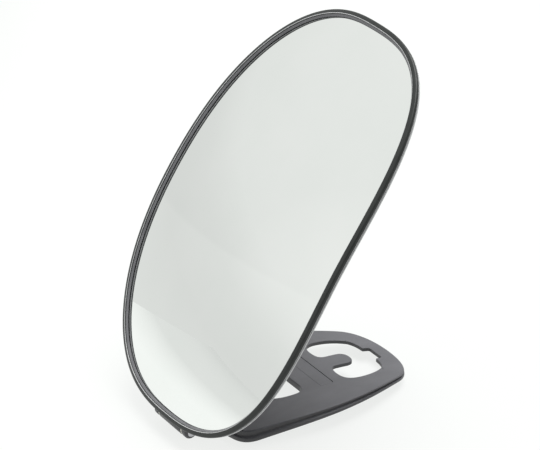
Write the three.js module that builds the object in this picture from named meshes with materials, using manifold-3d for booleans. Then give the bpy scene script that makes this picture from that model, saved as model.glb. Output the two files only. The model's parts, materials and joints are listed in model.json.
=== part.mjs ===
// Folding convex stand mirror: a dished oval mirror head on a friction hinge, and an arched stand plate that
// nests in the hollow of its back when the mirror is folded flat.
//
// Units are millimetres, +Z is up. The hinge axis runs along X, the stand plate reaches back along +Y, and the
// mirror faces -Y and leans back over the plate. The origin is the bottom centre of the whole object's box.

import * as THREE from "three";
import { ConvexGeometry } from "three/addons/geometries/ConvexGeometry.js";
import { mergeVertices } from "three/addons/utils/BufferGeometryUtils.js";
import Module from "manifold-3d";

const wasm = await Module();
wasm.setup();

// ---------------------------------------------------------------- driving dimensions
const GAP = 0.3; // clearance between pieces that touch

// mirror head
const HALF_HEIGHT = 125; // from the middle of the oval to its top, along the glass
const HALF_WIDTH = 81.9;
const OVAL_POWER = 2.75; // 2 would be a plain ellipse, more is squarer
const OVAL_EGG = -0.029; // how much the top is narrower than the bottom
const BEND_RADIUS = 332; // of the convex glass; the whole head follows it
const RIM_BAND = 8; // strip next to the outline that keeps a constant width all round
const RIM_WIDTH = 4.4; // front face of the rim, outline to glass opening
const GLASS_RECESS = 2.4; // the glass lies this far behind the rim's front face
const GLASS_THICKNESS = 1.8;
const GLASS_UNDER_LIP = 1.5; // how far the rim's lip covers the glass
const EDGE_DEPTH = 3.1; // outer edge of the head, front face to the start of the back's slope
const HEAD_DEPTH = 8.2; // front face of the rim to the back of the shell
const SHELL_WALL = 1.8;
const SPLIT_DEPTH = 2.3; // parting line between rim and back shell
const TONGUE_WALL = 1.1; // of the rim's tongue that enters the shell
const EAR_WALL_START = 12; // the hinge ears grow from the shell between these two heights above its bottom tip
const EAR_WALL_END = 30;
const PAD_RADIUS = 24; // foam pads behind the glass
const PAD_SPACING = 70;

// hinge
const AXIS_Y = 8.6; // hinge axis behind the mirror's bottom tip
const AXIS_Z = 7.4;
const TILT = THREE.MathUtils.degToRad(55.5); // mirror's chord above the floor, at rest
const TIP_ALONG = -1.11; // mirror's bottom tip from the axis, along the chord
const TIP_FRONT = 9.67; // and in front of it
const KNUCKLE_RADIUS = 4.2;
const KNUCKLE_HALF = 10.9;
const FLANGE = 0.5; // bush flange thickness
const WASHER = 0.4;
const EAR_INNER = KNUCKLE_HALF + FLANGE + WASHER + 3 * GAP;
const EAR_OUTER = 16.0;
const PIN_RADIUS = 1.25;
const PIN_HEAD = 1.0; // height of the pin's head and of its retaining cap
const BUSH_RADIUS = 2.3;
const BUSH_LENGTH = 4.5;

// stand plate
const LIFT = 2.2; // feet hold the plate this far off the floor
const ARCH_START = 30; // the top surface is an arch between these two Y
const ARCH_END = 148;
const TOP_START = 5.5; // its height at each end, above the feet's lift
const TOP_END = 4.0;
const ARCH_RISE = 6.0;
const SKIRT_START = 6.8; // depth of the outer wall at each end of the arch
const SKIRT_END = 2.6;
const SKIN = 2.2; // thickness of the top skin and of the walls under it
const NECK_HALF = 9.5;
const PLATE_BACK = 27; // hinge side of the plate
const BRIDGE = [89.6, 98.0]; // Y of the inlay on the cross-bar
const INLAY_HALF = 21.4;
const INLAY_DEPTH = 1.0;
const FRONT_FOOT = { radius: 4.2, height: 5.6 };
const REAR_FOOT = { radius: 2.2, height: 4.8 };
const FOOT_BOSS = 1.2; // wall round each foot's seat
const FEET = {
  front_left: { x: -27, y: 38, ...FRONT_FOOT },
  front_right: { x: 27, y: 38, ...FRONT_FOOT },
  rear: { x: 0, y: 147, ...REAR_FOOT },
};
const RIB_X = 27; // the two long ribs under the plate
const RIB_START = 41;
const RIB_END = 103;
const CROSS_RIB_Y = 84.5;
const RIB_SHORT = 1.2; // the ribs stop this far above the bottom of the outer wall

// facets
const OVAL_STEPS = 72;
const ROUND_STEPS = 20;
const CURVE_STEPS = 6;
const ARCH_STEPS = 16;

const REACH = 60; // cutting bodies extend this far, beyond every piece they cut

// ---------------------------------------------------------------- materials
const plastic = (color, roughness) => new THREE.MeshStandardMaterial({ color, roughness, metalness: 0 });
const metal = (color, roughness) => new THREE.MeshStandardMaterial({ color, roughness, metalness: 1 });
const rimPlastic = () => plastic(0x2c302f, 0.4);
const greyPlastic = () => plastic(0x55565a, 0.45);
const mirrorGlass = () => metal(0xe4e9e5, 0.04);
const foam = () => plastic(0xd8d6cf, 0.95);
const rubber = () => plastic(0x1c1d1f, 0.85);
const nylon = () => plastic(0xe9e6da, 0.6);
const steel = () => metal(0xb9bcc0, 0.3);

// ---------------------------------------------------------------- solids
// One closed, outward-facing body: shared vertices merged, empty faces dropped, wound the right way round.
function closed(geometry) {
  const bare = geometry.clone();
  bare.deleteAttribute("normal");
  bare.deleteAttribute("uv");
  const merged = mergeVertices(bare, 1e-4);
  const at = merged.getAttribute("position");
  const corner = [0, 1, 2].map(() => new THREE.Vector3());
  const faces = [];
  let volume = 0;
  for (let i = 0; i < merged.index.count; i += 3) {
    const abc = [0, 1, 2].map((k) => merged.index.getX(i + k));
    if (new Set(abc).size < 3) continue;
    abc.forEach((v, k) => corner[k].fromBufferAttribute(at, v));
    volume += corner[0].dot(corner[1].clone().cross(corner[2]));
    faces.push(abc);
  }
  merged.setIndex(faces.flatMap(([a, b, c]) => (volume < 0 ? [a, c, b] : [a, b, c])));
  return merged;
}

function toManifold(geometry) {
  const solid = closed(geometry);
  return new wasm.Manifold(
    new wasm.Mesh({
      numProp: 3,
      vertProperties: Float32Array.from(solid.getAttribute("position").array),
      triVerts: Uint32Array.from(solid.index.array),
    }),
  );
}

function fromManifold(body) {
  const mesh = body.getMesh();
  const geometry = new THREE.BufferGeometry();
  geometry.setAttribute("position", new THREE.Float32BufferAttribute(mesh.vertProperties, 3));
  geometry.setIndex(Array.from(mesh.triVerts));
  return geometry;
}

const union = (...solids) => solids.map(toManifold).reduce((all, one) => all.add(one));

function named(name, geometry, material) {
  const mesh = new THREE.Mesh(geometry, material);
  mesh.name = name;
  return mesh;
}

// A shape in the Y-Z plane, extruded along X from one side to the other.
function extrudeAlongX(shape, from, to) {
  const geometry = new THREE.ExtrudeGeometry(shape, { depth: to - from, bevelEnabled: false });
  return geometry.rotateX(Math.PI / 2).rotateZ(Math.PI / 2).translate(from, 0, 0);
}

// A shape in the X-Y plane, extruded up from one height to another.
function extrudeUp(shape, from, to) {
  const geometry = new THREE.ExtrudeGeometry(shape, { depth: to - from, bevelEnabled: false });
  return geometry.translate(0, 0, from);
}

// A turned piece on the X axis; the profile is [x, radius] pairs and closes on itself or on the axis.
function turnedOnX(profile) {
  const points = profile.map(([x, radius]) => new THREE.Vector2(radius, x));
  return new THREE.LatheGeometry(points, ROUND_STEPS).rotateZ(-Math.PI / 2);
}

function uprightCylinder(radius, from, to, x, y) {
  const cylinder = new THREE.CylinderGeometry(radius, radius, to - from, ROUND_STEPS);
  return cylinder.rotateX(Math.PI / 2).translate(x, y, (from + to) / 2);
}

const tubeOnX = (from, to, inner, outer) =>
  turnedOnX([[from, inner], [from, outer], [to, outer], [to, inner], [from, inner]]);
const rodOnX = (from, to, radius) => turnedOnX([[from, 0], [from, radius], [to, radius], [to, 0]]);

// ---------------------------------------------------------------- mirror head
// The head's own frame: Y along the chord of the bend, Z out of the mirror, origin on the hinge axis.

// Point of the oval outline at an angle from its top, and the outline moved inwards by an inset.
function outline(angle) {
  const s = Math.sin(angle);
  const c = Math.cos(angle);
  const across = Math.abs(s / HALF_WIDTH) ** OVAL_POWER;
  const up = Math.abs(c / HALF_HEIGHT) ** OVAL_POWER;
  const reach = (across + up) ** (-1 / OVAL_POWER);
  const v = reach * c;
  return new THREE.Vector2(reach * s * (1 + (OVAL_EGG * v) / HALF_HEIGHT), v);
}

function insetOutline(angle, inset) {
  const step = 1e-3;
  const along = outline(angle + step).sub(outline(angle - step)).normalize();
  const inwards = new THREE.Vector2(along.y, -along.x);
  return outline(angle).addScaledVector(inwards, inset);
}

// The bend: u across, v along the glass from its middle, n out of the front face of the rim.
function bend(u, v, n) {
  const lifted = BEND_RADIUS + n - (u * u) / (2 * BEND_RADIUS);
  const half = HALF_HEIGHT / BEND_RADIUS;
  return new THREE.Vector3(
    u,
    lifted * Math.sin(v / BEND_RADIUS) + BEND_RADIUS * Math.sin(half) + TIP_ALONG,
    lifted * Math.cos(v / BEND_RADIUS) - BEND_RADIUS * Math.cos(half) + TIP_FRONT,
  );
}

function moveVertices(geometry, place) {
  const at = geometry.getAttribute("position");
  const point = new THREE.Vector3();
  for (let i = 0; i < at.count; i += 1) {
    const moved = place(point.fromBufferAttribute(at, i));
    at.setXYZ(i, moved.x, moved.y, moved.z);
  }
  return geometry;
}

// A profile carried round the oval: [inset from the outline, depth behind the front face] pairs. An inset of
// CENTRE is the middle of the oval.
const CENTRE = 100;

function roundTheOval(profile) {
  const points = profile.map(([inset, depth]) => new THREE.Vector2(CENTRE - inset, -depth));
  const ring = new THREE.LatheGeometry(points, OVAL_STEPS);
  return moveVertices(ring, (p) => {
    const radius = Math.hypot(p.x, p.z);
    const inset = CENTRE - radius;
    const angle = Math.atan2(p.x, p.z);
    const edge = insetOutline(angle, Math.min(inset, RIM_BAND));
    if (inset > RIM_BAND) edge.multiplyScalar(radius / (CENTRE - RIM_BAND));
    return bend(edge.x, edge.y, p.y);
  });
}

// Insets of the rings across a wide dished sheet, from the rim band to the middle.
const acrossTheSheet = (depth) => [25, 50, 75, CENTRE].map((inset) => [inset, depth]);

function makeGlass() {
  const front = GLASS_RECESS;
  const back = GLASS_RECESS + GLASS_THICKNESS;
  const edge = RIM_WIDTH - GLASS_UNDER_LIP;
  return roundTheOval([
    ...acrossTheSheet(front).reverse(),
    [edge + 0.3, front],
    [edge, front + 0.3],
    [edge, back],
    ...acrossTheSheet(back),
  ]);
}

function makeRim() {
  const lipBack = GLASS_RECESS - GAP;
  const wall = RIM_WIDTH - GLASS_UNDER_LIP - GAP; // inside face of the wall round the glass
  const tongue = wall - TONGUE_WALL; // outside face of the tongue that enters the shell
  const tongueBack = GLASS_RECESS + GLASS_THICKNESS;
  return roundTheOval([
    [0, SPLIT_DEPTH],
    [0, 1.0],
    [0.3, 0.35],
    [1.0, 0],
    [RIM_WIDTH - 0.6, 0],
    [RIM_WIDTH - 0.1, 0.25],
    [RIM_WIDTH, 0.7],
    [RIM_WIDTH, lipBack],
    [wall, lipBack],
    [wall, tongueBack],
    [tongue, tongueBack],
    [tongue, SPLIT_DEPTH],
    [0, SPLIT_DEPTH],
  ]);
}

function makeShellDish() {
  const wallInside = RIM_WIDTH - GLASS_UNDER_LIP - TONGUE_WALL - 2 * GAP; // clears the rim's tongue
  const floorInside = HEAD_DEPTH - SHELL_WALL;
  return roundTheOval([
    ...acrossTheSheet(floorInside).reverse(),
    [RIM_BAND - 2, floorInside],
    [wallInside, GLASS_RECESS + GLASS_THICKNESS + GAP],
    [wallInside, SPLIT_DEPTH + GAP],
    [0, SPLIT_DEPTH + GAP],
    [0, EDGE_DEPTH - 0.2],
    [0.6, EDGE_DEPTH + 0.4],
    [RIM_BAND - 1.6, HEAD_DEPTH - 0.3],
    [RIM_BAND, HEAD_DEPTH],
    ...acrossTheSheet(HEAD_DEPTH),
  ]);
}

// An ear from the back shell's wall down to the hinge axis, as the hull of a disc and a strip inside the wall.
function makeEar(side) {
  const faces = [EAR_INNER, EAR_OUTER].map((x) => side * x);
  const inWall = HEAD_DEPTH - 0.9;
  const points = faces.flatMap((x) => [
    ...Array.from({ length: ROUND_STEPS }, (_, i) => {
      const a = (2 * Math.PI * i) / ROUND_STEPS;
      return new THREE.Vector3(x, KNUCKLE_RADIUS * Math.cos(a), KNUCKLE_RADIUS * Math.sin(a));
    }),
    bend(x, -HALF_HEIGHT + EAR_WALL_START, -inWall),
    bend(x, -HALF_HEIGHT + EAR_WALL_END, -inWall),
  ]);
  return new ConvexGeometry(points);
}

function makeBackShell() {
  const bore = toManifold(rodOnX(-EAR_OUTER - 1, EAR_OUTER + 1, PIN_RADIUS + GAP));
  return fromManifold(union(makeShellDish(), makeEar(-1), makeEar(1)).subtract(bore));
}

// A round foam pad in the gap between the glass and the shell, at a height along the glass.
function makeFoamPad(v) {
  const front = -(GLASS_RECESS + GLASS_THICKNESS + 2 * GAP);
  const back = -(HEAD_DEPTH - SHELL_WALL - 2 * GAP);
  const rings = [0, PAD_RADIUS / 2, PAD_RADIUS];
  const points = [...rings.map((r) => [r, front]), ...rings.reverse().map((r) => [r, back])];
  const disc = new THREE.LatheGeometry(points.map(([r, n]) => new THREE.Vector2(r, n)), ROUND_STEPS);
  return moveVertices(disc, (p) => bend(p.x, p.z + v, p.y));
}

// ---------------------------------------------------------------- stand plate
const along = (y) => (y - ARCH_START) / (ARCH_END - ARCH_START);
const topHeight = (y) => {
  const s = along(y);
  return LIFT + THREE.MathUtils.lerp(TOP_START, TOP_END, s) + 4 * ARCH_RISE * s * (1 - s);
};
const skirtDepth = (y) => THREE.MathUtils.lerp(SKIRT_START, SKIRT_END, along(y));

// Half of a symmetric plan outline is drawn on +X; the other half is its mirror image.
function mirrored(half) {
  const right = half.getPoints(CURVE_STEPS);
  const left = right.slice(1, -1).reverse().map((p) => new THREE.Vector2(-p.x, p.y));
  return new THREE.Shape([...right, ...left]);
}

function platePlan(inset = 0) {
  const half = new THREE.Path();
  half.moveTo(0, PLATE_BACK + inset);
  half.quadraticCurveTo(14, PLATE_BACK + inset, 27 - inset / 2, 30 + inset);
  half.quadraticCurveTo(34.5 - inset, 32 + inset, 36.5 - inset, 40);
  half.bezierCurveTo(39.6 - inset, 52, 43.6 - inset, 68, 43.2 - inset, 86);
  half.bezierCurveTo(42.4 - inset, 107, 36 - inset, 123, 30.8 - inset, 135.5);
  half.quadraticCurveTo(27.2 - inset, 144.4 - inset, 16, 148.2 - inset);
  half.quadraticCurveTo(9, 150.4 - inset, 0, 150.4 - inset);
  return mirrored(half);
}

// The C-shaped opening: it wraps a round-ended tongue and has a small notch in its far wall.
function hookOpeningPlan() {
  const half = new THREE.Path();
  half.moveTo(0, 141);
  half.lineTo(6.2, 141);
  half.lineTo(6.6, 136.6);
  half.bezierCurveTo(11, 136.4, 15, 135.6, 17.4, 133.2);
  half.quadraticCurveTo(22.6, 125, 22.4, 114);
  half.quadraticCurveTo(22, 106, 15, 105.5);
  half.quadraticCurveTo(12.5, 105.2, 9.5, 105.8);
  half.quadraticCurveTo(5.9, 106.5, 5.8, 110);
  half.lineTo(5.8, 118);
  half.quadraticCurveTo(5.4, 123.4, 0, 123.4);
  return mirrored(half);
}

// The opening nearer the hinge: straight far wall, rounded corners and a half-oval near side.
function neckOpeningPlan(grow = 0) {
  const half = new THREE.Path();
  half.moveTo(0, 79.8 + grow);
  half.lineTo(14, 79.8 + grow);
  half.quadraticCurveTo(20.2 + grow, 79.5 + grow, 20.2 + grow, 74);
  half.bezierCurveTo(20 + grow, 60, 11, 51 - grow, 0, 51 - grow);
  return mirrored(half);
}

// A slab of the arch: everything between two heights, as a Y-Z section extruded across the plate.
function archSlab(low, high) {
  const from = PLATE_BACK - 5;
  const to = ARCH_END + 5;
  const ys = Array.from({ length: ARCH_STEPS + 1 }, (_, i) => from + ((to - from) * i) / ARCH_STEPS);
  const section = [
    ...ys.map((y) => new THREE.Vector2(y, low(y))),
    ...ys.reverse().map((y) => new THREE.Vector2(y, high(y))),
  ];
  return extrudeAlongX(new THREE.Shape(section), -REACH, REACH);
}

const skirtBottom = (y) => topHeight(y) - skirtDepth(y);
const skinBottom = (y) => topHeight(y) - SKIN;

const prism = (plan) => toManifold(extrudeUp(plan, -REACH, REACH));

// The strap between the knuckle and the plate: it wraps the knuckle's lower half and enters the plate's edge.
function makeNeck() {
  const knuckle = Array.from({ length: ROUND_STEPS }, (_, i) => {
    const a = (2 * Math.PI * i) / ROUND_STEPS;
    return [AXIS_Y + KNUCKLE_RADIUS * Math.cos(a), AXIS_Z + KNUCKLE_RADIUS * Math.sin(a)];
  });
  const rootY = PLATE_BACK + 3;
  const section = [
    ...knuckle.filter(([, z]) => z < AXIS_Z + KNUCKLE_RADIUS / 3),
    [rootY, topHeight(rootY)],
    [rootY, skirtBottom(rootY) + 0.4],
  ];
  const sides = [-NECK_HALF, NECK_HALF];
  return new ConvexGeometry(sides.flatMap((x) => section.map(([y, z]) => new THREE.Vector3(x, y, z))));
}

// Foot bosses, ribs and the wall round the opening nearer the hinge, all inside the outer wall.
function makeUnderside() {
  const neckWall = extrudeUp(neckOpeningPlan(SKIN), -REACH, REACH);
  const bosses = Object.values(FEET).map(({ x, y, radius }) =>
    uprightCylinder(radius + FOOT_BOSS, -REACH, REACH, x, y),
  );
  const ribs = [-RIB_X, RIB_X].map((x) => {
    const rib = new THREE.BoxGeometry(SKIN, RIB_END - RIB_START, 2 * REACH);
    return rib.translate(x, (RIB_START + RIB_END) / 2, 0);
  });
  const crossRib = new THREE.BoxGeometry(2 * RIB_X, SKIN, 2 * REACH).translate(0, CROSS_RIB_Y, 0);
  const depth = archSlab((y) => skirtBottom(y) + RIB_SHORT, (y) => topHeight(y) - SKIN / 2);
  return union(neckWall, ...bosses, ...ribs, crossRib)
    .intersect(toManifold(depth))
    .intersect(prism(platePlan()));
}

function makeStandPlate() {
  const tray = toManifold(archSlab((y) => skirtBottom(y) - SKIN, skinBottom)).intersect(prism(platePlan(SKIN)));
  const knuckle = rodOnX(-KNUCKLE_HALF, KNUCKLE_HALF, KNUCKLE_RADIUS).translate(0, AXIS_Y, AXIS_Z);
  const bore = rodOnX(-REACH, REACH, PIN_RADIUS + GAP).translate(0, AXIS_Y, AXIS_Z);
  const bushSeats = [-1, 1].map((side) => {
    const inner = side * (KNUCKLE_HALF - BUSH_LENGTH - GAP);
    const outer = side * (KNUCKLE_HALF + GAP);
    const [from, to] = [Math.min(inner, outer), Math.max(inner, outer)];
    return rodOnX(from, to, BUSH_RADIUS + GAP).translate(0, AXIS_Y, AXIS_Z);
  });
  const pocket = new THREE.BoxGeometry(2 * (INLAY_HALF + GAP), BRIDGE[1] - BRIDGE[0] + 2 * GAP, 2 * REACH);
  pocket.translate(0, (BRIDGE[0] + BRIDGE[1]) / 2, 0);
  const pocketDepth = archSlab((y) => topHeight(y) - INLAY_DEPTH - GAP, (y) => topHeight(y) + SKIN);
  const footSeats = Object.values(FEET).map(({ x, y, radius, height }) =>
    uprightCylinder(radius + GAP, -REACH, height + GAP, x, y),
  );
  const body = toManifold(archSlab(skirtBottom, topHeight))
    .intersect(prism(platePlan()))
    .subtract(tray)
    .add(makeUnderside())
    .add(union(makeNeck(), knuckle))
    .subtract(prism(hookOpeningPlan()))
    .subtract(prism(neckOpeningPlan()))
    .subtract(union(bore, ...bushSeats, ...footSeats))
    .subtract(toManifold(pocket).intersect(toManifold(pocketDepth)));
  return fromManifold(body);
}

function makeInlay() {
  const width = BRIDGE[1] - BRIDGE[0];
  const block = new THREE.BoxGeometry(2 * INLAY_HALF, width, 2 * REACH).translate(0, BRIDGE[0] + width / 2, 0);
  const slab = archSlab((y) => topHeight(y) - INLAY_DEPTH, (y) => topHeight(y) - 0.15);
  return fromManifold(toManifold(block).intersect(toManifold(slab)));
}

function makeFoot({ x, y, radius, height }) {
  const profile = [
    [0, 0],
    [radius - 0.5, 0],
    [radius, 0.5],
    [radius, height],
    [0, height],
  ];
  const turned = new THREE.LatheGeometry(profile.map(([r, z]) => new THREE.Vector2(r, z)), ROUND_STEPS);
  return turned.rotateX(Math.PI / 2).translate(x, y, 0);
}

// ---------------------------------------------------------------- hinge
function makeBush(side) {
  const end = KNUCKLE_HALF + GAP;
  const deep = KNUCKLE_HALF - BUSH_LENGTH;
  const inner = PIN_RADIUS + GAP;
  const profile = [
    [deep, inner],
    [deep, BUSH_RADIUS],
    [end, BUSH_RADIUS],
    [end, KNUCKLE_RADIUS - 0.2],
    [end + FLANGE, KNUCKLE_RADIUS - 0.2],
    [end + FLANGE, inner],
    [deep, inner],
  ];
  return turnedOnX(profile.map(([x, radius]) => [side * x, radius])).translate(0, AXIS_Y, AXIS_Z);
}

// A wave washer: a flat ring pressed into three shallow waves.
function makeWaveWasher(side) {
  const middle = side * (KNUCKLE_HALF + 2 * GAP + FLANGE + WASHER / 2);
  const thickness = 0.2;
  const ring = tubeOnX(-thickness / 2, thickness / 2, PIN_RADIUS + GAP, KNUCKLE_RADIUS - 0.4);
  const wave = (WASHER - thickness) / 2;
  moveVertices(ring, (p) => {
    p.x += middle + wave * Math.sin(3 * Math.atan2(p.z, p.y));
    return p;
  });
  return ring.translate(0, AXIS_Y, AXIS_Z);
}

function makePin() {
  const start = -EAR_OUTER - GAP - PIN_HEAD + 0.2;
  const headStart = EAR_OUTER + GAP;
  return turnedOnX([
    [start, 0],
    [start, PIN_RADIUS - 0.3],
    [start + 0.3, PIN_RADIUS],
    [headStart, PIN_RADIUS],
    [headStart, 2.5],
    [headStart + 0.5, 2.4],
    [headStart + 0.85, 1.6],
    [headStart + PIN_HEAD, 0],
  ]);
}

function makePinCap() {
  const inside = -EAR_OUTER - GAP;
  const outer = inside - PIN_HEAD;
  const radius = PIN_RADIUS + GAP;
  return turnedOnX([
    [inside, radius],
    [inside, 2.6],
    [inside - 0.5, 2.6],
    [outer, 2.1],
    [outer, radius],
    [inside, radius],
  ]);
}

// ---------------------------------------------------------------- assembly
const head = new THREE.Group();
head.position.set(0, AXIS_Y, AXIS_Z);
head.rotation.x = TILT;
head.add(
  named("mirror_glass", closed(makeGlass()), mirrorGlass()),
  named("front_rim", closed(makeRim()), rimPlastic()),
  named("back_shell", makeBackShell(), greyPlastic()),
  named("foam_pad_top", closed(makeFoamPad(PAD_SPACING)), foam()),
  named("foam_pad_middle", closed(makeFoamPad(0)), foam()),
  named("foam_pad_bottom", closed(makeFoamPad(-PAD_SPACING)), foam()),
  named("hinge_pin", closed(makePin()), steel()),
  named("pin_cap", closed(makePinCap()), steel()),
);

const stand = new THREE.Group();
stand.add(
  named("stand_plate", makeStandPlate(), greyPlastic()),
  named("bridge_inlay", makeInlay(), greyPlastic()),
  named("bush_left", closed(makeBush(-1)), nylon()),
  named("bush_right", closed(makeBush(1)), nylon()),
  named("wave_washer_left", closed(makeWaveWasher(-1)), steel()),
  named("wave_washer_right", closed(makeWaveWasher(1)), steel()),
);
for (const [place, position] of Object.entries(FEET)) {
  stand.add(named(`foot_${place}`, closed(makeFoot(position)), rubber()));
}

const mirror = new THREE.Group();
mirror.add(stand, head);
mirror.updateMatrixWorld(true);
const box = new THREE.Box3().setFromObject(mirror, true);
const middle = box.getCenter(new THREE.Vector3());
mirror.position.set(-middle.x, -middle.y, -box.min.z);

export default mirror;
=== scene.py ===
import json
import math

import bpy
import numpy as np
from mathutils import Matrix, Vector
from mathutils.geometry import delaunay_2d_cdt


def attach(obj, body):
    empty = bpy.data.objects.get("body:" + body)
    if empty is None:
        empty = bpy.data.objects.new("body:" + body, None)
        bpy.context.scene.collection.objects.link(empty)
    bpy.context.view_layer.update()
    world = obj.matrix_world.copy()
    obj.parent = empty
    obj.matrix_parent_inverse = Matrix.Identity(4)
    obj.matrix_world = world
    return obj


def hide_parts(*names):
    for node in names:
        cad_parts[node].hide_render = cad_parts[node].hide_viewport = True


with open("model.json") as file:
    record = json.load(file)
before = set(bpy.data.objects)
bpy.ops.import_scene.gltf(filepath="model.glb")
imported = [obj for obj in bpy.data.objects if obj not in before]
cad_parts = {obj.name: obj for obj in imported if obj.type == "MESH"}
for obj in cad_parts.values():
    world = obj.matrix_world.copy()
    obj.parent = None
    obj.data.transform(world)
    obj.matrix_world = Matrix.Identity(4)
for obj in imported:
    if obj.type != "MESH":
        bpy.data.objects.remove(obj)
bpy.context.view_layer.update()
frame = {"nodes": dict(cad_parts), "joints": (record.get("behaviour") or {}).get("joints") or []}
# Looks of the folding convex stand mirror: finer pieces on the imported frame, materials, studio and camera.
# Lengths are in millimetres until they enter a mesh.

MM = 0.001
HINGE = np.array(frame["joints"][0]["pos_m"]) / MM

# ------------------------------------------------------------ driving dimensions, as the frame has them
GAP = 0.3  # between pieces that meet

HALF_HEIGHT = 125
HALF_WIDTH = 81.9
OVAL_POWER = 2.75  # 2 would be an ellipse; more is squarer
OVAL_EGG = -0.029  # change of width from the middle to the top, as a share
BEND_RADIUS = 332
RIM_BAND = 8  # rings this near the edge follow the outline
RIM_WIDTH = 4.4
GLASS_RECESS = 2.4  # depths are behind the rim's front face
GLASS_THICKNESS = 1.8
GLASS_UNDER_LIP = 1.5
EDGE_DEPTH = 3.1
HEAD_DEPTH = 8.2
SHELL_WALL = 1.8
SPLIT_DEPTH = 2.3  # where the rim ends and the shell begins
TONGUE_WALL = 1.1
TILT = math.radians(55.5)  # of the mirror's chord from the floor
TIP_ALONG = -1.11  # from the hinge to the rim's bottom front edge, along the chord
TIP_FRONT = 9.67  # and out of the glass

KNUCKLE_RADIUS = 4.2
KNUCKLE_HALF = 10.9
FLANGE = 0.5
WASHER = 0.4
EAR_INNER = KNUCKLE_HALF + FLANGE + WASHER + 3 * GAP
EAR_OUTER = 16.0
PIN_RADIUS = 1.25
PIN_HEAD = 1.0
BUSH_RADIUS = 2.3
BUSH_LENGTH = 4.5

AXIS_Y = 8.6  # of the hinge, from the front of the stand's own layout
LIFT = 2.2  # of the stand's layout above the floor, on its feet
ARCH_START = 30
ARCH_END = 148
TOP_START = 5.5
TOP_END = 4.0
ARCH_RISE = 6.0
SKIRT_START = 6.8
SKIRT_END = 2.6
SKIN = 2.2
SINK = 0.4  # how far the walls under the skin run up into it
NECK_HALF = 9.5
PLATE_BACK = 27
BRIDGE = (89.6, 98.0)  # the inlay's near and far edges
INLAY_HALF = 21.4
INLAY_DEPTH = 1.0
FEET = {  # x, y, radius, height
    "front_left": (-27, 38, 4.2, 5.6),
    "front_right": (27, 38, 4.2, 5.6),
    "rear": (0, 147, 2.2, 4.8),
}

INSIDE = 0.22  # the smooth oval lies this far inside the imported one, to stay within its flats
AROUND = 320  # points round the oval
ROUND = 48  # points round a turned piece
SHARP_DEG = 35  # edges sharper than this aren't smoothed


# ------------------------------------------------------------ meshes
def add_piece(name, body, slot, nodes, parts, *materials, bands=None):
    """One object from several (points, faces) parts; it rides on a body and stands for CAD nodes.
    bands gives the material's number for the faces of the first part, one entry for each row of faces."""
    points, faces = [], []
    for part_points, part_faces in parts:
        start = len(points)
        points.extend(tuple(float(c) * MM for c in p) for p in part_points)
        faces.extend([tuple(i + start for i in f) for f in part_faces])
    mesh = bpy.data.meshes.new(name)
    mesh.from_pydata(points, [], faces)
    mesh.polygons.foreach_set("use_smooth", [True] * len(mesh.polygons))
    mesh.set_sharp_from_angle(angle=math.radians(SHARP_DEG))
    for material in materials:
        mesh.materials.append(material)
    if bands:
        numbers = [number for number in bands for _ in range(AROUND)]
        numbers += [0] * (len(faces) - len(numbers))
        mesh.polygons.foreach_set("material_index", numbers)
    piece = bpy.data.objects.new(name, mesh)
    bpy.context.scene.collection.objects.link(piece)
    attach(piece, body)
    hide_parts(*nodes)


def add_fan(points, faces, start, count, middle, turn):
    """Joins the ring of points that begins at a start index to a single point; turn reverses the faces."""
    centre = len(points)
    points.append(tuple(middle))
    for i in range(count):
        a, b = start + i, start + (i + 1) % count
        faces.append((centre, b, a) if turn else (centre, a, b))


def loft(rings, wrap_profile=False, centre=False):
    """Quads between rings of equally many points. centre joins the first and last ring to single points."""
    rings = [np.asarray(r, float) for r in rings]
    count = len(rings[0])
    points = [tuple(p) for ring in rings for p in ring]
    faces = []
    pairs = list(zip(range(len(rings) - 1), range(1, len(rings))))
    if wrap_profile:
        pairs.append((len(rings) - 1, 0))
    for a, b in pairs:
        for i in range(count):
            j = (i + 1) % count
            faces.append((a * count + i, a * count + j, b * count + j, b * count + i))
    if centre:
        add_fan(points, faces, 0, count, rings[0].mean(0), True)
        add_fan(points, faces, (len(rings) - 1) * count, count, rings[-1].mean(0), False)
    return points, faces


def outwards(part):
    """The same closed part, turned inside out if its faces point inwards."""
    points, faces = part
    at = np.array(points, float)
    volume = 0.0
    for face in faces:
        for k in range(1, len(face) - 1):
            volume += np.dot(at[face[0]], np.cross(at[face[k]], at[face[k + 1]]))
    if volume < 0:
        faces = [tuple(reversed(face)) for face in faces]
    return points, faces


def arc(middle, radius, start_deg, end_deg, steps):
    """Points of an arc round a middle, both ends included."""
    angles = np.radians(np.linspace(start_deg, end_deg, steps + 1))
    return [(middle[0] + radius * math.cos(a), middle[1] + radius * math.sin(a)) for a in angles]


def turned(profile, place, steps=ROUND):
    """A turned piece. Its profile, (along, radius) pairs, ends on the axis or closes on its own start."""
    angles = np.linspace(0, 2 * math.pi, steps, endpoint=False)
    on_axis = profile[0][1] < 1e-9
    rings = profile[1:-1] if on_axis else profile[:-1]
    loops = [place(np.array([(x, r * math.cos(a), r * math.sin(a)) for a in angles])) for x, r in rings]
    points, faces = loft(loops, wrap_profile=not on_axis)
    if on_axis:
        first, last = place(np.array([(profile[0][0], 0, 0), (profile[-1][0], 0, 0)]))
        add_fan(points, faces, 0, steps, first, True)
        add_fan(points, faces, (len(loops) - 1) * steps, steps, last, False)
    return outwards((points, faces))


# ------------------------------------------------------------ places
def head_place(p):
    """From the head's frame (Y up the chord, Z out of the glass, origin on the hinge) to the row frame."""
    x, along, out = np.asarray(p, float).T
    cosine, sine = math.cos(TILT), math.sin(TILT)
    return np.stack([x, HINGE[1] + cosine * along - sine * out, HINGE[2] + sine * along + cosine * out], 1)


def stand_place(p):
    """From the stand's layout (Y from the front of the layout) to the row frame."""
    return np.asarray(p, float) + np.array([0, HINGE[1] - AXIS_Y, 0])


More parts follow.
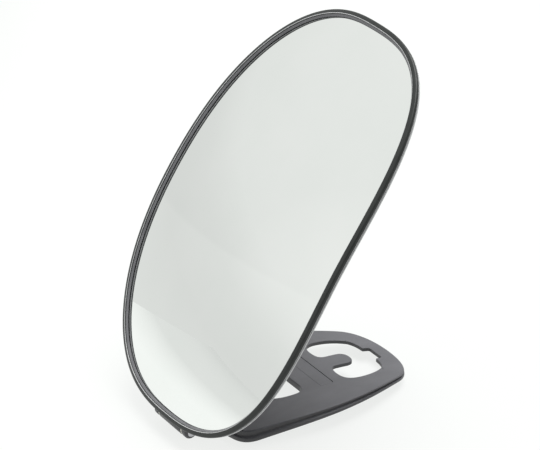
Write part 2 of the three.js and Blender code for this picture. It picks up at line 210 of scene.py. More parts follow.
def hinge_place(p):
    """From the hinge's own frame, X along its axis, to the row frame."""
    return np.asarray(p, float) + np.array([0, HINGE[1], HINGE[2]])


# ------------------------------------------------------------ mirror head
ANGLES = np.linspace(0, 2 * math.pi, AROUND, endpoint=False)


def outline(angle):
    """The rim's outer edge: a squared oval, a little narrower towards its top."""
    sine, cosine = np.sin(angle), np.cos(angle)
    across = np.abs(sine / HALF_WIDTH) ** OVAL_POWER
    up = np.abs(cosine / HALF_HEIGHT) ** OVAL_POWER
    reach = (across + up) ** (-1 / OVAL_POWER)
    v = reach * cosine
    return np.stack([reach * sine * (1 + OVAL_EGG * v / HALF_HEIGHT), v], -1)


def inset_outline(inset):
    """The outline moved inwards along its own normals."""
    step = 1e-3
    along = outline(ANGLES + step) - outline(ANGLES - step)
    along /= np.linalg.norm(along, axis=1, keepdims=True)
    inwards = np.stack([along[:, 1], -along[:, 0]], 1)
    return outline(ANGLES) + inset * inwards


def bend(u, v, n):
    """From the glass's own directions (u across, v along, n out of its face) to the head's frame."""
    lifted = BEND_RADIUS + n - u * u / (2 * BEND_RADIUS)
    half = HALF_HEIGHT / BEND_RADIUS
    y = lifted * np.sin(v / BEND_RADIUS) + BEND_RADIUS * math.sin(half) + TIP_ALONG
    z = lifted * np.cos(v / BEND_RADIUS) - BEND_RADIUS * math.cos(half) + TIP_FRONT
    return np.stack([np.broadcast_to(u, y.shape), y, z], -1)


def oval_ring(inset, depth):
    """A ring at an inset from the outline; past the rim band the ring is the band's inner line, scaled."""
    edge = inset_outline(min(inset, RIM_BAND))
    if inset > RIM_BAND:
        edge = edge * (1 - (inset - RIM_BAND) / (HALF_WIDTH - RIM_BAND))
    return head_place(bend(edge[:, 0], edge[:, 1], -depth))


def sheet_insets(count):
    """Insets of rings across the wide sheet, ending just short of its middle."""
    return [RIM_BAND + (HALF_WIDTH - RIM_BAND) * k / count for k in range(1, count)] + [HALF_WIDTH - 0.4]


def glass_part():
    """The convex sheet, with its edge behind the rim's lip."""
    edge = RIM_WIDTH - GLASS_UNDER_LIP
    back = GLASS_RECESS + GLASS_THICKNESS
    nip = 0.3
    sheet = sheet_insets(26)
    profile = [(inset, GLASS_RECESS) for inset in reversed(sheet)]
    profile += [(RIM_BAND, GLASS_RECESS), (RIM_WIDTH, GLASS_RECESS), (edge + nip, GLASS_RECESS)]
    profile += [(edge, GLASS_RECESS + nip), (edge, back - nip), (edge + nip, back), (RIM_BAND, back)]
    profile += [(inset, back) for inset in sheet]
    return outwards(loft([oval_ring(*p) for p in profile], centre=True))


# the pale bands on the rim's and the shell's edges are a painted highlight
RIM_FACE, RIM_LIP, RIM_PAINTED_HIGHLIGHT = 0, 1, 2  # numbers of the rim's materials
SHELL_BODY, SHELL_PAINTED_HIGHLIGHT = 0, 1  # numbers of the shell's materials


def rim_profile():
    """Inset, depth and the material's number for the strip from each point to the next."""
    lip_back = GLASS_RECESS - GAP
    wall = RIM_WIDTH - GLASS_UNDER_LIP - GAP
    tongue = wall - TONGUE_WALL
    tongue_back = GLASS_RECESS + GLASS_THICKNESS
    roll = 0.9  # radius of the outer front edge
    face_middle = 1.8
    face_end = 3.05
    nip = 0.1

    # the rear strip of the outer side and the bevel at the inner front edge carry the painted highlight
    outer_side = [(INSIDE + 0.08, SPLIT_DEPTH, RIM_PAINTED_HIGHLIGHT), (INSIDE, SPLIT_DEPTH - 0.12, RIM_PAINTED_HIGHLIGHT)]
    outer_side += [(INSIDE, SPLIT_DEPTH - 0.45, RIM_FACE)]
    face = [(x, d, RIM_FACE) for x, d in arc((INSIDE + roll, roll), roll, 180, 270, 8)]
    face += [(face_middle, 0.0, RIM_FACE)]
    bevel = [(face_end - nip, 0.03, RIM_PAINTED_HIGHLIGHT), (face_end + 0.12, 0.12, RIM_PAINTED_HIGHLIGHT)]
    short_wall = [(face_end + 0.22, 0.32, RIM_FACE), (face_end + 0.26, 0.75, RIM_FACE)]
    slope = [(face_end + 0.37, 0.88, RIM_LIP), (face_end + 0.65, 1.12, RIM_LIP), (face_end + 1, 1.5, RIM_LIP)]
    lip = [(RIM_WIDTH, lip_back - 0.15, RIM_LIP), (RIM_WIDTH - nip, lip_back, RIM_LIP)]
    lip += [(wall + nip, lip_back, RIM_LIP), (wall, lip_back + nip, RIM_FACE)]
    behind = [(wall, tongue_back - nip), (wall - nip, tongue_back)]
    behind += [(tongue + nip, tongue_back), (tongue, tongue_back - nip), (tongue, SPLIT_DEPTH)]
    return outer_side + face + bevel + short_wall + slope + lip + [(*place, RIM_FACE) for place in behind]


def shell_profile():
    """Inset, depth and the material's number for the strip from each point to the next."""
    wall_inside = RIM_WIDTH - GLASS_UNDER_LIP - TONGUE_WALL - 2 * GAP
    floor_inside = HEAD_DEPTH - SHELL_WALL
    start = SPLIT_DEPTH + GAP
    sheet = sheet_insets(26)
    groove, groove_half, groove_depth = 13.0, 0.6, 0.35

    dish = [(inset, floor_inside) for inset in reversed(sheet)]
    dish += [(RIM_BAND - 2, floor_inside), (wall_inside, GLASS_RECESS + GLASS_THICKNESS + GAP)]
    dish += [(wall_inside, start)]
    # the outer side carries the painted highlight
    outer_side = [(INSIDE + 0.1, start), (INSIDE, start + 0.08), (INSIDE, EDGE_DEPTH)]
    outer_side += [(INSIDE + 0.06, EDGE_DEPTH + 0.2), (0.36, EDGE_DEPTH + 0.42), (0.65, EDGE_DEPTH + 0.66)]
    round_back = [(0.95, EDGE_DEPTH + 0.88), (3.4, 5.5), (5.6, 7.1), (6.5, 7.66), (7.2, 7.95)]
    round_back += [(RIM_BAND, 8.1), (9.2, HEAD_DEPTH - 0.02)]
    back = [(groove - 2 * groove_half, HEAD_DEPTH), (groove - groove_half, HEAD_DEPTH - 0.06)]
    back += [(groove, HEAD_DEPTH - groove_depth)]
    back += [(groove + groove_half, HEAD_DEPTH - 0.06), (groove + 2 * groove_half, HEAD_DEPTH)]
    back += [(inset, HEAD_DEPTH) for inset in sheet if inset > groove + 3]
    stretches = ((dish, SHELL_BODY), (outer_side, SHELL_PAINTED_HIGHLIGHT), (round_back, SHELL_BODY), (back, SHELL_BODY))
    return [(*place, number) for stretch, number in stretches for place in stretch]


def convex_prism(section, x_from, x_to, round_off, place):
    """A convex Y-Z section, extruded along X, with its two ends rounded off."""
    section = np.asarray(section, float)
    middle = section.mean(0)
    ahead = np.roll(section, -1, 0) - section
    ahead /= np.linalg.norm(ahead, axis=1, keepdims=True)
    normal = np.stack([ahead[:, 1], -ahead[:, 0]], 1)
    normal = normal + np.roll(normal, 1, 0)
    normal /= np.linalg.norm(normal, axis=1, keepdims=True)
    if np.sum(normal * (section - middle)) < 0:
        normal = -normal
    rings = []
    for side, x_end in ((-1, min(x_from, x_to)), (1, max(x_from, x_to))):
        angles = np.radians(np.linspace(0, 90, 6))
        if side > 0:
            angles = angles[::-1]
        for a in angles:
            inset = round_off * (1 - math.sin(a))
            x = x_end - side * round_off * (1 - math.cos(a))
            loop = section - normal * inset
            rings.append(place(np.column_stack([np.full(len(loop), x), loop])))
    return outwards(loft(rings, centre=True))


def hull_section(points, spacing=0.5):
    """Convex hull of Y-Z points, as an evenly spaced loop with its corners softened."""
    points = sorted(map(tuple, np.asarray(points, float)))

    def half(sequence):
        chain = []
        for p in sequence:
            while len(chain) > 1:
                (ax, ay), (bx, by) = chain[-2], chain[-1]
                if (bx - ax) * (p[1] - ay) - (by - ay) * (p[0] - ax) > 0:
                    break
                chain.pop()
            chain.append(p)
        return chain[:-1]

    corners = half(points) + half(reversed(points))
    return soften(even_loop(corners, spacing), 2)


def even_loop(loop, spacing):
    """The same closed loop with evenly spaced points."""
    loop = np.asarray(loop, float)
    closed = np.vstack([loop, loop[:1]])
    steps = np.linalg.norm(np.diff(closed, axis=0), axis=1)
    travelled = np.concatenate([[0], np.cumsum(steps)])
    count = max(12, int(round(travelled[-1] / spacing)))
    at = np.linspace(0, travelled[-1], count, endpoint=False)
    return np.stack([np.interp(at, travelled, closed[:, k]) for k in (0, 1)], 1)


def soften(loop, times):
    """Each point drawn towards its neighbours, so that corners round off."""
    for _ in range(times):
        loop = 0.25 * np.roll(loop, 1, 0) + 0.5 * loop + 0.25 * np.roll(loop, -1, 0)
    return loop


def ear_part(side):
    """A hinge ear: round the pin at one end, and rooted in the shell's wall at the other."""
    circle = arc((0, 0), KNUCKLE_RADIUS, 0, 360, 59)
    in_wall = HEAD_DEPTH - 0.9
    x = side * (EAR_INNER + EAR_OUTER) / 2
    root_heights = np.array([12, 30]) - HALF_HEIGHT  # measured up from the head's bottom edge
    roots = bend(np.full(2, x), root_heights, -in_wall)[:, 1:]
    section = hull_section(circle + [tuple(root) for root in roots], 0.6)
    return convex_prism(section, side * EAR_INNER, side * EAR_OUTER, 0.6, head_place)


# ------------------------------------------------------------ stand plate
def arch_share(y):
    """0 to 1 from the arch's start to its end."""
    return (y - ARCH_START) / (ARCH_END - ARCH_START)


def top_height(y):
    """Height of the plate's arched top above the floor."""
    share = arch_share(y)
    return LIFT + TOP_START + (TOP_END - TOP_START) * share + 4 * ARCH_RISE * share * (1 - share)


def skirt_depth(y):
    """How far the plate's outer wall reaches below its top."""
    return SKIRT_START + (SKIRT_END - SKIRT_START) * arch_share(y)


def curve_points(start, *segments, steps=14):
    """Points along straight (one point), quadratic (two) and cubic (three) segments."""
    points = [np.array(start, float)]
    for segment in segments:
        control = [points[-1]] + [np.array(p, float) for p in segment]
        degree = len(control) - 1
        for k in range(1, steps + 1):
            t = k / steps
            weights = [math.comb(degree, i) * t**i * (1 - t) ** (degree - i) for i in range(degree + 1)]
            points.append(sum(w * c for w, c in zip(weights, control)))
    return np.array(points)


def mirrored(half):
    """A whole loop from its right half, whose first and last points lie on the middle line."""
    left = half[1:-1][::-1] * np.array([-1, 1])
    return np.vstack([half, left])


def plate_plan():
    """The plate's outline, widest near its middle and rounded at the far end."""
    return mirrored(curve_points(
        (0, PLATE_BACK),
        [(14, PLATE_BACK), (27, 30)],
        [(34.5, 32), (36.5, 40)],
        [(39.6, 52), (43.6, 68), (43.2, 86)],
        [(42.4, 107), (36, 123), (30.8, 135.5)],
        [(27.2, 144.4), (16, 148.2)],
        [(9, 150.4), (0, 150.4)],
    ))


def hook_plan():
    """The C-shaped opening round the tongue, with a finger notch at its far end."""
    return mirrored(curve_points(
        (0, 141),
        [(6.2, 141)],
        [(6.6, 136.6)],
        [(11, 136.4), (15, 135.6), (17.4, 133.2)],
        [(22.6, 125), (22.4, 114)],
        [(22, 106), (15, 105.5)],
        [(12.5, 105.2), (9.5, 105.8)],
        [(5.9, 106.5), (5.8, 110)],
        [(5.8, 118)],
        [(5.4, 123.4), (0, 123.4)],
    ))


def neck_plan():
    """The opening nearer the hinge."""
    return mirrored(curve_points(
        (0, 79.8),
        [(14, 79.8)],
        [(20.2, 79.5), (20.2, 74)],
        [(20, 60), (11, 51), (0, 51)],
    ))


def panel_plan(grow):
    """The inlay's outline, grown by a distance on every side."""
    x, y0, y1 = INLAY_HALF + grow, BRIDGE[0] - grow, BRIDGE[1] + grow
    return mirrored(curve_points(
        (0, y0),
        [(x - 1, y0)],
        [(x, y0), (x, y0 + 1)],
        [(x, y1 - 1)],
        [(x, y1), (x - 1, y1)],
        [(0, y1)],
    ))


def area(loop):
    """Positive when the loop runs anticlockwise."""
    x, y = loop[:, 0], loop[:, 1]
    return 0.5 * np.sum(x * np.roll(y, -1) - y * np.roll(x, -1))


def even_plan(plan, spacing=0.9, times=2):
    """An anticlockwise loop with evenly spaced points and softened corners."""
    loop = soften(even_loop(plan, spacing), times)
    return loop if area(loop) > 0 else loop[::-1]


def grown(loop, distance):
    """An anticlockwise loop moved outwards by a distance."""
    ahead = np.roll(loop, -1, 0) - np.roll(loop, 1, 0)
    ahead /= np.linalg.norm(ahead, axis=1, keepdims=True)
    return loop + distance * np.stack([ahead[:, 1], -ahead[:, 0]], 1)


def inside(points, loop):
    """Which points lie inside a loop, by counting crossings."""
    x, y = points[:, 0][:, None], points[:, 1][:, None]
    x0, y0 = loop[:, 0][None], loop[:, 1][None]
    x1, y1 = np.roll(loop[:, 0], -1)[None], np.roll(loop[:, 1], -1)[None]
    crosses = (y0 > y) != (y1 > y)
    with np.errstate(divide="ignore", invalid="ignore"):
        at = x0 + (y - y0) * (x1 - x0) / (y1 - y0)
    return (np.sum(crosses & (x < at), axis=1) % 2) == 1


def clear_of(points, loop, distance):
    """Which points are further than a distance from every point of a loop."""
    gaps = np.linalg.norm(points[:, None] - loop[None], axis=2).min(1)
    return gaps > distance


def filled(outer, holes, height, spacing=3.2):
    """A sheet between an outer loop and holes, at a height that depends on y, as loose triangles."""
    xs = np.arange(outer[:, 0].min(), outer[:, 0].max(), spacing)
    ys = np.arange(outer[:, 1].min(), outer[:, 1].max(), spacing)
    grid = np.array([(x, y) for y in ys for x in xs])
    keep = inside(grid, outer) & clear_of(grid, outer, spacing * 0.55)
    for hole in holes:
        keep &= ~inside(grid, hole) & clear_of(grid, hole, spacing * 0.55)
    loops = [outer] + holes
    points = [Vector(p) for loop in loops for p in loop] + [Vector(p) for p in grid[keep]]
    edges, start = [], 0
    for loop in loops:
        edges += [(start + i, start + (i + 1) % len(loop)) for i in range(len(loop))]
        start += len(loop)
    found = delaunay_2d_cdt(points, edges, [], 0, 1e-6)
    flat = np.array([tuple(p) for p in found[0]])
    faces = [tuple(f) for f in found[2]]
    middles = np.array([flat[list(f)].mean(0) for f in faces])
    keep = inside(middles, outer)
    for hole in holes:
        keep &= ~inside(middles, hole)
    faces = [f for f, wanted in zip(faces, keep) if wanted]
    return [(x, y, height(y)) for x, y in flat], faces


def dropped(loop, drop):
    """A flat loop laid on the plate's arch, lowered by a drop."""
    return np.column_stack([loop, top_height(loop[:, 1]) - drop])


def welded(parts, tolerance=1e-4):
    """Joins parts that share edges into one part."""
    points, faces, index = [], [], {}
    for part_points, part_faces in parts:
        moved = []
        for p in part_points:
            key = tuple(int(round(c / tolerance)) for c in p)
            if key not in index:
                index[key] = len(points)
                points.append(tuple(p))
            moved.append(index[key])
        for part_face in part_faces:
            face = [moved[i] for i in part_face]
            face = [corner for k, corner in enumerate(face) if corner != face[k - 1]]
            if len(face) > 2:
                faces.append(tuple(face))
    return points, faces


def flip(part):
    """The same part with its faces reversed."""
    return part[0], [tuple(reversed(f)) for f in part[1]]


def skirt_rings(outer):
    """Rings round the plate's edge, down its wall, round the foot and up inside to the skin's underside."""
    along = outer[:, 1]
    depth = skirt_depth(along)
    roll = 0.7  # radius of the top edge
    drawn_in = 0.95  # the wall's upper half stands back; below it the skirt steps out to a flange
    flare = (0.9 - 0.5 * np.clip(arch_share(along), 0, 1)) * np.clip((149 - along) / 10, 0, 1)
    flare = np.where(along < ARCH_START + 4, flare * np.clip((along - PLATE_BACK) / 7, 0, 1), flare)
    places = [  # outwards from the outline, and down from the top
        (-0.5 * drawn_in, roll + 0.04 * depth),
        (-drawn_in, roll + 0.1 * depth),
        (-drawn_in, 0.54 * depth),
        (-0.8 * drawn_in, 0.57 * depth),
        (0.5 * flare, 0.64 * depth),
        (0.85 * flare, 0.7 * depth),
        (flare, depth - 0.35),
        (flare - 0.1, depth - 0.1),
        (flare - 0.35, depth),
        (-1.7, depth),
        (-1.95, depth - 0.2),
        (-SKIN, np.minimum(SKIN + 0.2, depth - 0.3)),
        (-SKIN - 0.3, SKIN),
    ]
    edge = [(-roll * (1 - math.sin(a)), roll * (1 - math.cos(a))) for a in np.radians(np.linspace(0, 90, 7))]
    rings = []
    for grow, drop in edge + places:
        moved = outer + (grown(outer, 1.0) - outer) * np.reshape(grow, (-1, 1))
        rings.append(np.column_stack([moved, top_height(along) - drop]))
    return rings


def hole_rings(loop):
    """Rings down the rolled wall of an opening, from the skin's top to its underside."""
    roll = 0.45
    rings = []
    for a in np.radians(np.linspace(0, 90, 5)):
        rings.append(dropped(grown(loop, roll * (1 - math.sin(a))), roll * (1 - math.cos(a))))
    return rings + [dropped(loop, SKIN - 0.2), dropped(grown(loop, 0.2), SKIN)]


def plate_body(outer, hook, neck, pocket):
    """The skin with its skirt, its two openings and the shallow pocket for the inlay, as one closed part."""
    skirt = skirt_rings(outer)
    hook_wall = hole_rings(hook)
    neck_wall = hole_rings(neck)
    floor_drop = INLAY_DEPTH + GAP
    pocket_rim = [dropped(grown(pocket, 0.15), 0), dropped(pocket, 0.12), dropped(pocket, floor_drop)]
    top_holes = [rings[0][:, :2] for rings in (hook_wall, neck_wall, pocket_rim)]
    under_holes = [rings[-1][:, :2] for rings in (hook_wall, neck_wall)]
    top = filled(skirt[0][:, :2], top_holes, top_height)
    under = filled(skirt[-1][:, :2], under_holes, lambda y: top_height(y) - SKIN)
    floor = filled(pocket_rim[-1][:, :2], [], lambda y: top_height(y) - floor_drop)
    walls = [flip(loft(rings)) for rings in (hook_wall, neck_wall, pocket_rim)]
    return welded([top, loft(skirt), flip(under), *walls, floor])


def under_wall(loop, thickness, low):
    """A wall that hangs under the skin along a closed loop."""
    rings = [dropped(loop, SKIN - SINK), dropped(loop, low - 0.2), dropped(grown(loop, 0.2), low)]
    rings += [dropped(grown(loop, thickness - 0.2), low), dropped(grown(loop, thickness), low - 0.2)]
    rings += [dropped(grown(loop, thickness), SKIN - SINK)]
    return outwards(loft(rings, wrap_profile=True))


def rib(x0, x1, y0, y1, low):
    """A straight rib that hangs from the skin's underside and follows its arch."""
    section = [(x0, 0), (x0 + 0.15, low), (x1 - 0.15, low), (x1, 0)]
    rings = []
    for y in np.linspace(y0, y1, 16):
        rings.append([(x, y, top_height(y) - SKIN - drop) for x, drop in section])
    return outwards(loft(rings, centre=True))


def foot_socket(x, y, radius, height):
    """A boss under the skin with a blind bore that a foot sits in."""
    bore, boss = radius + GAP, radius + 1.2
    low = max(skirt_depth(y) - 1.2, SKIN + 0.3)
    angles = np.linspace(0, 2 * math.pi, ROUND, endpoint=False)
    outside = [(boss, SKIN - SINK), (boss, low - 0.2), (boss - 0.2, low)]
    mouth = [(bore + 0.15, low), (bore, low - 0.15)]
    rings = []
    for size, drop in outside + mouth:
        circle = np.column_stack([x + size * np.cos(angles), y + size * np.sin(angles)])
        rings.append(dropped(circle, drop))
    seat = rings[-1].copy()
    seat[:, 2] = height + GAP
    return outwards(loft(rings + [seat], centre=True))


def plate_parts():
    """The plate's body, the wall round the neck opening, two long ribs, a cross rib and the foot sockets."""
    outer = even_plan(plate_plan())
    hook = even_plan(hook_plan(), 0.6, 1)
    neck = even_plan(neck_plan(), 0.8)
    pocket = even_plan(panel_plan(0.1), 0.7, 1)
    rib_x, rib_half, rib_depth = 27, 1.0, 2.2
    parts = [plate_body(outer, hook, neck, pocket), under_wall(grown(neck, 0.2), SKIN - 0.2, 4.1)]
    parts += [rib(x - rib_half, x + rib_half, 45.5, 103, rib_depth) for x in (-rib_x, rib_x)]
    parts += [rib(rib_half - rib_x, rib_x - rib_half, 83.5, 85.5, rib_depth)]
    parts += [foot_socket(*foot) for foot in FEET.values()]
    return [(stand_place(points), faces) for points, faces in parts]


def neck_strap_part():
    """The strap from the plate's edge round the lower part of the knuckle."""
    top_share = 1 / 3  # of the knuckle's radius above its axis
    circle = [
        (AXIS_Y + KNUCKLE_RADIUS * math.cos(a), HINGE[2] + KNUCKLE_RADIUS * math.sin(a))
        for a in np.linspace(0, 2 * math.pi, 60)
        if math.sin(a) < top_share
    ]
    root = PLATE_BACK + 3
    roots = [(root, top_height(root) - 0.05), (root, top_height(root) - skirt_depth(root) + 0.4)]
    return convex_prism(hull_section(circle + roots, 0.6), -NECK_HALF, NECK_HALF, 0.7, stand_place)


def knuckle_part():
    """The stand's hinge barrel, with a wider bore at each end for its bush."""
    bore, seat = PIN_RADIUS + GAP, BUSH_RADIUS + GAP
    inner = KNUCKLE_HALF - BUSH_LENGTH - GAP
    nip = 0.35
    half = [(inner, bore), (inner, seat), (KNUCKLE_HALF - 0.1, seat), (KNUCKLE_HALF, seat + 0.1)]
    half += [(KNUCKLE_HALF, KNUCKLE_RADIUS - nip), (KNUCKLE_HALF - nip * 0.3, KNUCKLE_RADIUS - nip * 0.3)]
    half += [(KNUCKLE_HALF - nip, KNUCKLE_RADIUS)]
    profile = [(-x, r) for x, r in half] + [(x, r) for x, r in reversed(half)]
    return turned(profile + profile[:1], hinge_place)


def inlay_part():
    """The shallow panel set into the bar between the two openings."""
    lip = even_plan(panel_plan(0), 0.7, 1)
    rings = [dropped(grown(lip, -0.35), 0.17), dropped(grown(lip, -0.12), 0.22), dropped(lip, 0.36)]
    rings += [dropped(lip, INLAY_DEPTH - 0.1), dropped(grown(lip, -0.1), INLAY_DEPTH)]
    top = filled(rings[0][:, :2], [], lambda y: top_height(y) - 0.17)
    under = filled(rings[-1][:, :2], [], lambda y: top_height(y) - INLAY_DEPTH)
    points, faces = welded([top, loft(rings), flip(under)])
    return stand_place(points), faces


def foot_part(x, y, radius, height):
    """A rubber foot with a ring groove in its sole."""
    groove = 0.25
    profile = [(0.0, 0.0), (0.0, 0.35 * radius), (groove, 0.4 * radius), (groove, 0.52 * radius)]
    profile += [(0.0, 0.57 * radius), (0.0, radius - 0.5), (0.08, radius - 0.25), (0.25, radius - 0.08)]
    profile += [(0.5, radius), (height - 0.2, radius), (height, radius - 0.2), (height, 0.0)]
    return turned(profile, lambda p: stand_place(np.column_stack([x + p[:, 1], y + p[:, 2], p[:, 0]])))


# ------------------------------------------------------------ hinge
def bush_part(side):
    """A flanged bush in one end of the knuckle."""
    end, deep, inner = KNUCKLE_HALF + GAP, KNUCKLE_HALF - BUSH_LENGTH, PIN_RADIUS + GAP
    outer, flange_end = KNUCKLE_RADIUS - 0.2, end + FLANGE
    profile = [(deep, inner), (deep, BUSH_RADIUS - 0.2), (deep + 0.2, BUSH_RADIUS), (end, BUSH_RADIUS)]
    profile += [(end, outer - 0.1), (end + 0.1, outer), (flange_end - 0.1, outer), (flange_end, outer - 0.1)]
    profile += [(flange_end, inner), (deep, inner)]
    return turned([(side * x, r) for x, r in profile], hinge_place)


def washer_part(side):
    """A thin ring bent into three waves."""
    middle = side * (KNUCKLE_HALF + 2 * GAP + FLANGE + WASHER / 2)
    half = 0.1  # of the metal's thickness
    wave = WASHER / 2 - half
    inner, outer = PIN_RADIUS + GAP, KNUCKLE_RADIUS - 0.4
    profile = [(-half, inner), (-half, outer), (half, outer), (half, inner)]

    def waved(p):
        p = np.array(p)
        p[:, 0] += middle + wave * np.sin(3 * np.arctan2(p[:, 2], p[:, 1]))
        return hinge_place(p)

    return turned(profile + profile[:1], waved, 72)


def pin_part():
    """The hinge pin, with its domed head on the right."""
    start = -EAR_OUTER - GAP - PIN_HEAD + 0.2
    head = EAR_OUTER + GAP
    profile = [(start, 0.0), (start, PIN_RADIUS - 0.3), (start + 0.1, PIN_RADIUS - 0.12)]
    profile += [(start + 0.3, PIN_RADIUS), (head, PIN_RADIUS), (head, 2.45), (head + 0.08, 2.5)]
    profile += [(head + 0.4, 2.44), (head + 0.65, 2.15), (head + 0.84, 1.6), (head + 0.95, 0.9)]
    profile += [(head + PIN_HEAD, 0.0)]
    return turned(profile, head_place)


def cap_part():
    """The cap on the pin's left end."""
    inside_face = -EAR_OUTER - GAP
    outer_face = inside_face - PIN_HEAD
    bore = PIN_RADIUS + GAP
    profile = [(inside_face, bore), (inside_face, 2.5), (inside_face - 0.1, 2.6), (inside_face - 0.5, 2.6)]
    profile += [(inside_face - 0.8, 2.45), (outer_face + 0.08, 2.2), (outer_face, 2.0)]
    profile += [(outer_face, bore + 0.15), (outer_face + 0.15, bore), (inside_face, bore)]
    return turned(profile, head_place)


# ------------------------------------------------------------ materials
class Shading:
    """A short way to write a node tree that reads one kind of coordinates."""

    def __init__(self, tree, coordinates):
        self.tree = tree
        self.where = tree.nodes.new("ShaderNodeTexCoord").outputs[coordinates]

    def along(self, axis, places, values=(0, 1), source=None):
        """A value that goes from one to another between two places along an axis."""
        dot = self.tree.nodes.new("ShaderNodeVectorMath")
        dot.operation = "DOT_PRODUCT"
        dot.inputs[1].default_value = axis
        self.tree.links.new(source or self.where, dot.inputs[0])
        spread = self.tree.nodes.new("ShaderNodeMapRange")
        for socket, value in zip(("From Min", "From Max", "To Min", "To Max"), (*places, *values)):
            spread.inputs[socket].default_value = value
        self.tree.links.new(dot.outputs["Value"], spread.inputs["Value"])
        return spread.outputs["Result"]

    def ramp(self, value, stops):
        """Stops are (place, colour) or (place, number) pairs."""
        node = self.tree.nodes.new("ShaderNodeValToRGB")
        points = node.color_ramp.elements
        while len(points) < len(stops):
            points.new(0.5)
        for point, (at, colour) in zip(points, stops):
            point.position = at
            point.color = (*colour, 1) if isinstance(colour, tuple) else (colour, colour, colour, 1)
        self.tree.links.new(value, node.inputs["Fac"])
        return node.outputs["Color"]

    def mix(self, share, a, b, blend="MIX"):
        """Mixes two colours, each a node's result or a plain colour."""
        node = self.tree.nodes.new("ShaderNodeMix")
        node.data_type = "RGBA"
        node.blend_type = blend
        sockets = {socket.identifier: socket for socket in node.inputs}
        self.tree.links.new(share, sockets["Factor_Float"])
        for value, name in ((a, "A_Color"), (b, "B_Color")):
            if isinstance(value, tuple):
                sockets[name].default_value = (*value, 1)
            else:
                self.tree.links.new(value, sockets[name])
        return next(o for o in node.outputs if o.identifier == "Result_Color")

    def times(self, a, b):
        """The product of two values."""
        node = self.tree.nodes.new("ShaderNodeMath")
        node.operation = "MULTIPLY"
        self.tree.links.new(a, node.inputs[0])
        self.tree.links.new(b, node.inputs[1])
        return node.outputs["Value"]


class Surface(Shading):
    """A material with one shader, shaded in the object's own coordinates."""

    def __init__(self, name):
        self.material = bpy.data.materials.new(name)
        self.material.use_nodes = True
        super().__init__(self.material.node_tree, "Object")
        self.shader = next(n for n in self.tree.nodes if n.type == "BSDF_PRINCIPLED")

    def noise(self, scale, detail=4, roughness=0.55, stretch=None):
        where = self.where
        if stretch:
            mapping = self.tree.nodes.new("ShaderNodeMapping")
            mapping.inputs["Scale"].default_value = stretch
            self.tree.links.new(where, mapping.inputs["Vector"])
            where = mapping.outputs["Vector"]
        node = self.tree.nodes.new("ShaderNodeTexNoise")
        node.inputs["Scale"].default_value = scale
        node.inputs["Detail"].default_value = detail
        node.inputs["Roughness"].default_value = roughness
        self.tree.links.new(where, node.inputs["Vector"])
        return node.outputs["Fac"]

    def facing_up(self, low, high):
        """0 to 1 as the surface's own normal turns from low to high along the object's Z."""
        normal = self.tree.nodes.new("ShaderNodeTexCoord").outputs["Normal"]
        return self.along((0, 0, 1), (low, high), source=normal)

    def bump(self, height, distance_mm):
        """Relief in the surface, this high from 0 to 1 of the height value."""
        node = self.tree.nodes.new("ShaderNodeBump")
        node.inputs["Distance"].default_value = distance_mm * MM
        self.tree.links.new(height, node.inputs["Height"])
        self.tree.links.new(node.outputs["Normal"], self.shader.inputs["Normal"])

    def link(self, value, socket):
        self.tree.links.new(value, self.shader.inputs[socket])

    def set(self, **values):
        """Uniform values for the shader's own sockets; an underscore stands for a space."""
        for socket, value in values.items():
            self.shader.inputs[socket.replace("_", " ")].default_value = value


def moulded(name, dark, light, rough, grain_mm, grain_depth_mm, patch_mm=9.0):
    """Moulded plastic: faint flow patches in the colour, a fine grain, and uneven gloss."""
    surface = Surface(name)
    patches = surface.noise(1 / (patch_mm * MM), 5, 0.6)
    surface.colour = surface.ramp(patches, [(0.3, dark), (0.7, light)])
    surface.link(surface.colour, "Base Color")
    smears = surface.noise(1 / (2.6 * patch_mm * MM), 6, 0.65, stretch=(1, 0.35, 1))
    surface.link(surface.ramp(smears, [(0.3, rough[0]), (0.72, rough[1])]), "Roughness")
    grain = surface.noise(1 / (grain_mm * MM), 3, 0.5)
    surface.bump(grain, grain_depth_mm)
    return surface


def mirror_material():
    surface = Surface("silvered_glass_look")
    haze = surface.noise(1 / (46 * MM), 3, 0.5)
    tints = [(0.35, (0.865, 0.89, 0.868)), (0.65, (0.885, 0.905, 0.886))]
    surface.link(surface.ramp(haze, tints), "Base Color")
    smear = surface.noise(1 / (17 * MM), 7, 0.7, stretch=(1, 0.5, 1))
    surface.link(surface.ramp(smear, [(0.45, 0.012), (0.62, 0.03), (0.8, 0.05)]), "Roughness")
    surface.set(Metallic=1.0)
    return surface.material


def rim_material():
    dark, light = (0.021, 0.0235, 0.0225), (0.031, 0.034, 0.0325)
    surface = moulded("rim_plastic_look", dark, light, (0.26, 0.4), 0.35, 0.006)
    surface.set(Specular_IOR_Level=0.3)
    return surface.material


def lip_material():
    """The slope from the rim down to the glass, coloured paler than the rim's face."""
    dark, light = (0.14, 0.14, 0.15), (0.19, 0.19, 0.2)
    return moulded("rim_lip_look", dark, light, (0.3, 0.42), 0.35, 0.005).material


def painted_highlight_material():
    """A painted highlight: thin bands along moulded edges, coloured pale and smooth."""
    dark, light = (0.42, 0.425, 0.43), (0.56, 0.565, 0.57)
    return moulded("painted_highlight_edges", dark, light, (0.22, 0.4), 0.6, 0.006, 4).material


def shell_material():
    dark, light = (0.066, 0.066, 0.071), (0.084, 0.084, 0.09)
    return moulded("shell_plastic_look", dark, light, (0.36, 0.5), 0.5, 0.014).material


